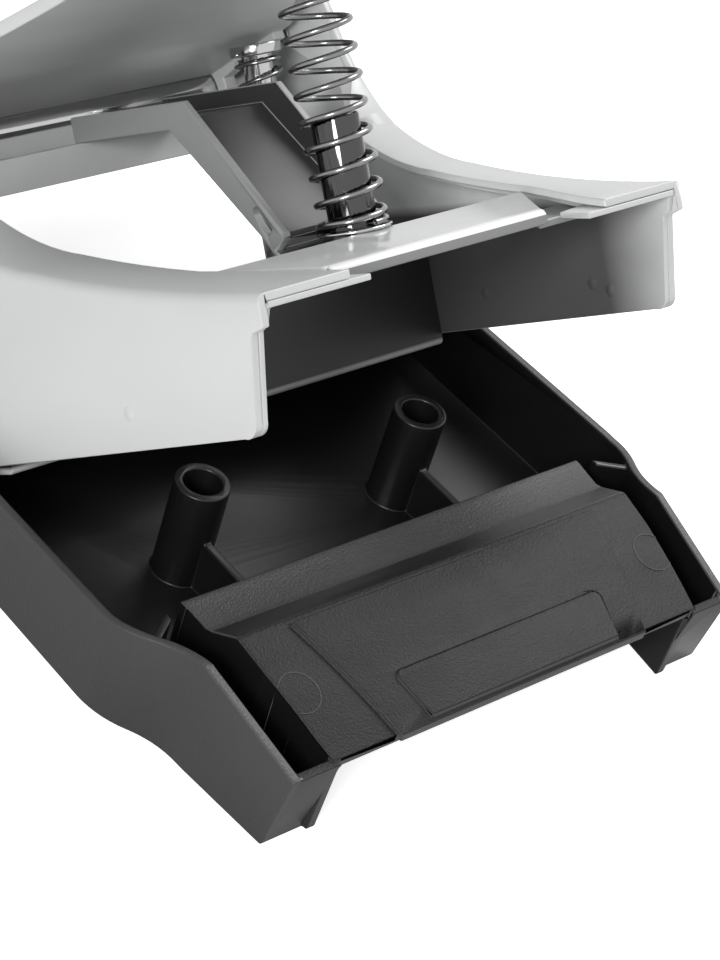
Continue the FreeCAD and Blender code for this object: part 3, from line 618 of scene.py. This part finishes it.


# Smooth stoved enamel, with the faint waviness of sprayed paint in its soft highlights. The
# inner faces' painted shade, and the painted light it turns into, are dull and mottled.
grey_enamel = finish_of(
    "stoved_grey_enamel",
    "#D0D1D1",
    drift=0.02,
    patch=14,
    rough=(0.3, 0.38),
    grain=1.6,
    depth=0.006,
)
# Painted shade inside the body, turning into painted light at the rear end and above the ledges.
inner_painted_shade = shade_and_light_coat("dusted_phosphate", "#565656", "#EDEEEE", rear_light_share=0.85, rear_light_reach=20)
shell = rounded(
    "outer_shell",
    grey_enamel,
    edge=0.3,
    is_bend=is_shell_bend,
    bend=1.7,
    reshape=press_shell,
    shortest=1,
)
# Painted shade and light on the shell's inward faces.
repaint(shell, inner_painted_shade, faces_hollow)
inner = rounded("inner_frame", grey_enamel, edge=0.2)
# Painted shade and light on the frame's inward faces.
repaint(inner, inner_painted_shade, faces_hollow)


# --- Spot weld marks. Where the sheets of a wall are joined, the electrodes have left low round
# bosses, three on each wall's inside and two on its outside.
def make_boss():
    """A low round boss whose foot is just under the XY plane, in metres."""
    radius = 1.6 * MM
    height = 0.3 * MM
    sunk = 0.02 * MM
    rings = 6
    turns = 24
    points = [(0, 0, height)]
    faces = []
    for ring in range(1, rings + 1):
        share = ring / rings
        level = height * (1 + math.cos(math.pi * share)) / 2 - sunk
        reach = radius * share
        for number in range(turns):
            angle = number / turns * math.tau
            points.append((reach * math.cos(angle), reach * math.sin(angle), level))
    for number in range(turns):
        beside = (number + 1) % turns
        faces.append((0, 1 + number, 1 + beside))
        for ring in range(1, rings):
            inner_row = 1 + (ring - 1) * turns
            outer_row = inner_row + turns
            faces.append((inner_row + number, outer_row + number, outer_row + beside, inner_row + beside))
    boss = new_piece("boss_pattern", points, faces, grey_enamel)
    boss.data.shade_smooth()
    return boss


def scatter(name, spots, facings, pattern, finish):
    """Copies of a pattern on points, each with its Z axis along the point's facing.

    The node tree's inputs are the points, the pattern's object and the finish.
    """
    mesh = bpy.data.meshes.new(name)
    mesh.from_pydata([tuple(spot) for spot in spots], [], [])
    facing = mesh.attributes.new("facing", "FLOAT_VECTOR", "POINT")
    for number, direction in enumerate(facings):
        facing.data[number].vector = direction
    made = bpy.data.objects.new(name, mesh)
    bpy.context.scene.collection.objects.link(made)
    tree = bpy.data.node_groups.new(name, "GeometryNodeTree")
    tree.interface.new_socket("Points", in_out="INPUT", socket_type="NodeSocketGeometry")
    shape = tree.interface.new_socket("Pattern", in_out="INPUT", socket_type="NodeSocketObject")
    coat = tree.interface.new_socket("Finish", in_out="INPUT", socket_type="NodeSocketMaterial")
    tree.interface.new_socket("Pieces", in_out="OUTPUT", socket_type="NodeSocketGeometry")
    given = add_node(tree, "NodeGroupInput", {})
    info = add_node(tree, "GeometryNodeObjectInfo", {"Object": given.outputs["Pattern"]})
    heading = add_node(
        tree, "GeometryNodeInputNamedAttribute", {"Name": "facing"}, data_type="FLOAT_VECTOR"
    )
    turned = add_node(
        tree, "FunctionNodeAlignRotationToVector", {"Vector": heading.outputs["Attribute"]}, axis="Z"
    )
    copies = add_node(
        tree,
        "GeometryNodeInstanceOnPoints",
        {
            "Points": given.outputs["Points"],
            "Instance": info.outputs["Geometry"],
            "Rotation": turned.outputs["Rotation"],
        },
    )
    real = add_node(tree, "GeometryNodeRealizeInstances", {"Geometry": copies.outputs["Instances"]})
    coated = add_node(
        tree,
        "GeometryNodeSetMaterial",
        {"Geometry": real.outputs["Geometry"], "Material": given.outputs["Finish"]},
    )
    add_node(tree, "NodeGroupOutput", {"Pieces": coated.outputs["Geometry"]})
    spread = made.modifiers.new("spread", "NODES")
    spread.node_group = tree
    spread[shape.identifier] = pattern
    spread[coat.identifier] = finish
    return settle(made)


# Each mark is at a distance ahead and up; outward is 1 on a wall's outer face and -1 on its inner.
boss_pattern = make_boss()
wall_turn = math.atan(WALL_TAPER)
BOTH_SHEETS = 2.5
OUTER_MARKS = ((7.9, -17.6), (43.6, -20.8))
INNER_MARKS = ((28.5, -18.5), (-2.1, -17.2), (-6.6, -18.5))
for name, marks, depth, outward, finish in (
    ("weld_marks_outside", OUTER_MARKS, 0, 1, grey_enamel),
    ("weld_marks_inside", INNER_MARKS, BOTH_SHEETS, -1, inner_painted_shade),
):
    spots = []
    facings = []
    for side, _ in SIDES:
        for ahead, up in marks:
            spots.append(in_body((wall_half(ahead) - depth) * side, ahead, up))
            facings.append(BODY.to_3x3() @ Vector((side * outward, -wall_turn * outward, 0)))
    weld_marks = scatter(name, spots, facings, boss_pattern, finish)
    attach(weld_marks, body_of_node("outer_shell"))
bpy.data.objects.remove(boss_pattern)


# --- Rear plate and cross wall. Steel pressings welded between the walls. The plate has a harder
# gloss enamel with a painted highlight along its rolled rear edge, and the cross wall is a
# near-black painted shade with a painted highlight along its lower edge.
def edged(name, colour, edge_colour, axis, start, stop, rough):
    """One finish that turns into another between two distances along a body axis."""
    made, tree = new_material(name)
    place = add_node(tree, "ShaderNodeTexCoord", {})
    rim = along(tree, place, axis, start, stop, 0, 1)
    mixed = add_node(
        tree,
        "ShaderNodeMixRGB",
        {"Fac": rim.outputs[0], "Color1": linear(colour), "Color2": linear(edge_colour)},
    )
    surface(tree, mixed.outputs[0], drift=0.03, patch=6, rough=rough, grain=0.8, depth=0.004)
    return made


# The roll and its painted highlight lie at distances ahead, the roll's underside and the cross
# wall's painted lower highlight at heights.
PLATE_ROLL = -15.3
HIGHLIGHT_FROM = -14.6
HIGHLIGHT_TO = -15.4
ROLL_UNDER = -1.5
EDGE_HIGHLIGHT_FROM = -26.6
EDGE_HIGHLIGHT_TO = -27.3


def under_the_roll(centre, normal):
    """The lip below the plate's rolled rear edge, which gets a painted shade."""
    _, ahead, up = body_place(centre * MM)
    return ahead < PLATE_ROLL and up < ROLL_UNDER


# The gloss enamel mirrors the spring's foot softly. The lip under the roll is a darker grey, a
# painted shade, and the cross wall's lower edge is a thin pale line, a painted highlight, below the
# wall's near-black painted shade.
painted_highlight_band = (FORWARD, HIGHLIGHT_FROM, HIGHLIGHT_TO)
lower_edge_highlight = (UPWARD, EDGE_HIGHLIGHT_FROM, EDGE_HIGHLIGHT_TO)
# Painted highlight: the pale band along the plate's rolled rear edge.
gloss_enamel = edged("gloss_grey_enamel", "#C6C7C7", "#F4F4F4", *painted_highlight_band, rough=(0.12, 0.16))
# Painted shade: the lip under the roll is a darker grey than the plate.
lip_painted_shade = finish_of(
    "rolled_lip_enamel",
    "#858686",
    drift=0.03,
    patch=6,
    rough=(0.3, 0.4),
    grain=0.8,
    depth=0.004,
)
# Painted shade: the cross wall is near-black, with a painted highlight along its lower edge.
cross_wall_painted_shade = edged("phosphate_with_bright_edge", "#1B1B1B", "#D8D8D8", *lower_edge_highlight, rough=(0.4, 0.5))
plate = rounded("top_plate", gloss_enamel, edge=0.3)
# Painted shade on the lip below the roll.
repaint(plate, lip_painted_shade, under_the_roll)
# The cross wall, with its painted shade and painted highlight.
rounded("cross_wall", cross_wall_painted_shade, edge=0.25)


# --- Springs and post. Round drawn wire, wound with closed ends: the long return spring round
# its polished post, and one short spring under each punch head.
PUNCH_SPREAD = 40
PUNCH_AHEAD = 72
GUIDE_TOP = 18.0
metal = {"Metallic": 1.0}

# Drawn wire is bright but not mirror smooth; the post is ground and chromed, with narrow clear
# highlights. Both are a grey below bare steel's, the post's darkest: a painted reflection of dark
# surroundings, as the surround they mirror is pale.
spring_wire = finish_of(
    "drawn_spring_wire",
    "#8E8E8E",
    drift=0.05,
    patch=2,
    rough=(0.16, 0.26),
    grain=0.3,
    depth=0.002,
    **metal,
)
# Painted reflection: the low grey stands for the dark that the post would mirror.
dark_chrome = finish_of(
    "dark_chrome",
    "#565656",
    drift=0.03,
    patch=2,
    rough=(0.04, 0.07),
    grain=0.3,
    depth=0.0005,
    **metal,
)


def coil(node, foot, radius, gauge, height, turns):
    """A helix of wire round the body's upward axis, whose last turn at each end lies closed.

    radius is to the middle of the wire.
    """
    steps = 32
    sides = 12
    blend = 1 / 8
    count = int(turns * steps)
    open_pitch = (height - gauge * 3) / (turns - 2)

    def rise(turn):
        """The height of the wire's middle: the pitch is one gauge where the turns are closed."""
        closed = min(turn, 1) + max(turn - (turns - 1), 0)
        return gauge / 2 + closed * gauge + min(max(turn - 1, 0), turns - 2) * open_pitch

    points = []
    for number in range(count + 1):
        turn = number / steps
        angle = turn * math.tau
        nearby = [min(max(turn + shift * blend, 0), turns) for shift in (-1, 0, 1)]
        level = sum(rise(place) for place in nearby) / 3
        for side in range(sides):
            bend = side / sides * math.tau
            out = radius + gauge / 2 * math.cos(bend)
            up = level + gauge / 2 * math.sin(bend)
            spot = Vector(foot) + Vector((out * math.sin(angle), -out * math.cos(angle), up))
            points.append(in_body(*spot))
    faces = [tuple(range(sides)), tuple(count * sides + side for side in reversed(range(sides)))]
    for number in range(count):
        for side in range(sides):
            here = number * sides + side
            beside = number * sides + (side + 1) % sides
            faces.append((here, here + sides, beside + sides, beside))
    made = new_piece(node + "_finished", points, faces, spring_wire)
    made.data.shade_smooth()
    made.data.set_sharp_from_angle(angle=math.radians(50))
    take_place(made, node)
    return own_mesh(made)


coil(
    "return_spring",
    foot=(0, 4.5, 2.1),
    radius=5.5,
    gauge=1.1,
    height=49.9,
    turns=12.35,
)
for side, name in SIDES:
    coil(
        f"punch_spring_{name}",
        foot=(PUNCH_SPREAD * side, PUNCH_AHEAD, GUIDE_TOP),
        radius=4.2,
        gauge=0.8,
        height=13.1,
        turns=4.6,
    )
rounded("guide_post", dark_chrome, edge=0.5)


# --- Rear stay and bridge. A channel pressed from 1.4 mm sheet that ties the plate to the bridge
# under the punch heads. The inside of the channel is dull, and dark with a painted shade.
CHANNEL_HALF = 9.5


def in_the_channel(centre, normal):
    """The faces that the channel's two sides and its web turn to each other, which get a painted shade.
    """
    if abs(normal.x) > 0.8:
        return normal.x * centre.x < 0
    return abs(centre.x) < CHANNEL_HALF and (UPWARD - FORWARD).dot(normal) > 0.9


# One thin coat: a deeper, softer grey than the shell's, and darker on the stay than on the
# bridge. Inside the channel the grey is a near-black painted shade.
stay_enamel = finish_of(
    "thin_grey_enamel",
    "#959696",
    drift=0.04,
    patch=8,
    rough=(0.32, 0.42),
    grain=1.2,
    depth=0.006,
)
# Painted shade for the inside of the channel.
stay_inside_painted_shade = finish_of(
    "thinly_sprayed_phosphate",
    "#343434",
    drift=0.1,
    patch=7,
    rough=(0.4, 0.5),
    grain=0.6,
    depth=0.01,
)
bridge_enamel = finish_of(
    "single_coat_grey_enamel",
    "#B6B7B7",
    drift=0.04,
    patch=8,
    rough=(0.32, 0.42),
    grain=1.2,
    depth=0.006,
)
stay = rounded("rear_stay", stay_enamel, edge=0.3, shortest=1)
# Painted shade on the channel's inner faces.
repaint(stay, stay_inside_painted_shade, in_the_channel)
rounded("head_bridge", bridge_enamel, edge=0.35)


# --- Lever. A pressed steel arm on a through axle, enamelled as the shell is, with a grip moulded
# in the tray's black ABS pushed over its end. The hand rests on the grip's long upper edges.
def is_grip_edge(line):
    """The grip's long upper edges, which are moulded with a wide radius for the hand."""
    normals = [face.normal for face in line.link_faces]
    side = max(normals, key=lambda normal: abs(normal.x))
    top = min(normals, key=lambda normal: abs(normal.x))
    return abs(side.x) > 0.9 and abs(top.x) < 0.2 and top.dot(UPWARD) > 0


rounded("lever_grip", grained_abs, edge=0.8, is_bend=is_grip_edge, bend=2.6)
rounded("lever_arm", grey_enamel, edge=0.35)


# --- Small parts. Die plate, paper stop, punches and their guides, spring cup and bush, axle and
# its caps, rivets, hinge pins, washers and feet: turned and pressed steel, nylon and rubber, each
# with its edges broken.
SMALL_EDGE = 0.2

# Zinc is grey with blurred reflections, and ground steel clear and bright. Nylon is milky, and
# moulded rubber has almost no gloss.
zinc = finish_of(
    "zinc_plated_steel",
    "#B4B4B4",
    drift=0.05,
    patch=3,
    rough=(0.3, 0.42),
    grain=0.4,
    depth=0.004,
    **metal,
)
ground = finish_of(
    "ground_steel",
    "#C6C6C6",
    drift=0.03,
    patch=2,
    rough=(0.07, 0.12),
    grain=0.3,
    depth=0.001,
    **metal,
)
nylon = finish_of(
    "white_nylon",
    "#DCDCDA",
    drift=0.02,
    patch=4,
    rough=(0.4, 0.5),
    grain=0.5,
    depth=0.004,
)
rubber = finish_of(
    "black_rubber",
    "#202020",
    drift=0.06,
    patch=3,
    rough=(0.8, 0.9),
    grain=0.4,
    depth=0.02,
)
SMALL_FINISHES = {
    "plated_steel": zinc,
    "ground_steel": ground,
    "white_nylon": nylon,
    "rubber": rubber,
}
for node in sorted(frame["nodes"]):
    already_made = frame["nodes"][node].hide_render
    if not already_made:
        rounded(node, SMALL_FINISHES[SLOTS[node]], edge=SMALL_EDGE)
